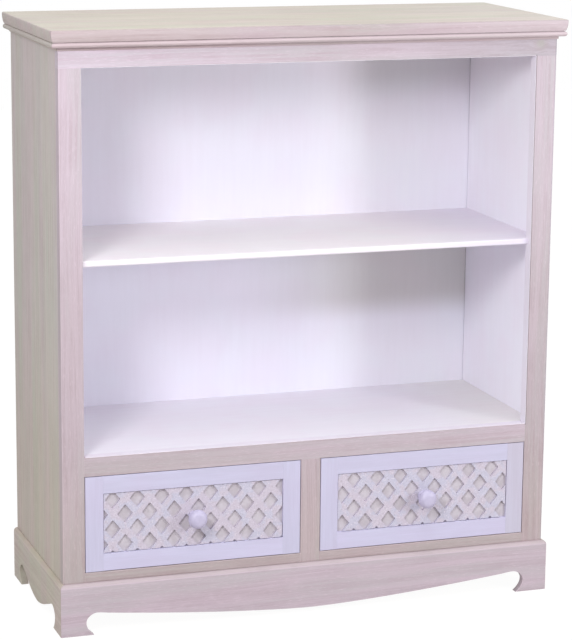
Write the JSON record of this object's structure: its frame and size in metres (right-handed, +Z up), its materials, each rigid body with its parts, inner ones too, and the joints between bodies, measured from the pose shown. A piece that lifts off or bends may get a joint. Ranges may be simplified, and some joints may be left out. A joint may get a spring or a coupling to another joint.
{
  "type": "bookcase with bottom drawers",
  "caption": "Open bookcase with a moulded top, a face frame, a thin fixed shelf, drawers with lattice fronts at the bottom, and a scalloped plinth.",
  "frame": {"origin": "on the floor, under the middle of the whole object with its knobs", "axes": "+Z up, the front and its drawers face -Y, +X to the viewer's right"},
  "size_m": [0.8, 0.335, 0.9],
  "materials": {
    "limed_wood": "limed open-grain wood, pinkish beige wash, matt",
    "white_paint": "brushed white paint on wood, eggshell",
    "lattice_paint": "thin white paint on fretted board, matt",
    "ground_paint": "beige-grey wash, matt",
    "knob_paint": "smooth white paint on turned wood, satin",
    "bare_wood": "planed, unfinished",
    "plywood": "unfinished plywood",
    "steel": "zinc plated"
  },
  "bodies": {
    "cabinet": {"top_board": "limed_wood", "top_strip_front": "limed_wood", "top_strip_left": "limed_wood", "top_strip_right": "limed_wood", "top_strip_back": "bare_wood", "top_rail": "limed_wood", "stile_left": "limed_wood", "stile_right": "limed_wood", "mid_rail": "limed_wood", "mullion": "limed_wood", "bottom_rail_left": "limed_wood", "bottom_rail_right": "limed_wood", "side_panel_left": "limed_wood", "side_panel_right": "limed_wood", "back_panel": "white_paint", "shelf": "white_paint", "deck_board": "white_paint", "bottom_board": "bare_wood", "drawer_divider": "bare_wood", "guide_left_outer": "bare_wood", "guide_left_inner": "bare_wood", "guide_right_inner": "bare_wood", "guide_right_outer": "bare_wood", "kicker_left": "bare_wood", "kicker_right": "bare_wood", "skirt_front": "limed_wood", "skirt_left": "limed_wood", "skirt_right": "limed_wood", "plinth_back_rail": "bare_wood", "corner_block_front_left": "bare_wood", "corner_block_front_right": "bare_wood", "corner_block_back_left": "bare_wood", "corner_block_back_right": "bare_wood"},
    "drawer_left": {"drawer_left_stile_left": "white_paint", "drawer_left_stile_right": "white_paint", "drawer_left_rail_top": "white_paint", "drawer_left_rail_bottom": "white_paint", "drawer_left_front_board": "ground_paint", "drawer_left_lattice": "lattice_paint", "drawer_left_side_left": "bare_wood", "drawer_left_side_right": "bare_wood", "drawer_left_bottom": "plywood", "drawer_left_back": "bare_wood", "drawer_left_knob": "knob_paint", "drawer_left_knob_screw": "steel"},
    "drawer_right": {"drawer_right_stile_left": "white_paint", "drawer_right_stile_right": "white_paint", "drawer_right_rail_top": "white_paint", "drawer_right_rail_bottom": "white_paint", "drawer_right_front_board": "ground_paint", "drawer_right_lattice": "lattice_paint", "drawer_right_side_left": "bare_wood", "drawer_right_side_right": "bare_wood", "drawer_right_bottom": "plywood", "drawer_right_back": "bare_wood", "drawer_right_knob": "knob_paint", "drawer_right_knob_screw": "steel"}
  },
  "joints": [
    {"name": "drawer_left_slide", "type": "slide", "parent": "cabinet", "child": "drawer_left", "axis": [0, -1, 0], "range_m": [0, 0.2]},
    {"name": "drawer_right_slide", "type": "slide", "parent": "cabinet", "child": "drawer_right", "axis": [0, -1, 0], "range_m": [0, 0.2]}
  ]
}
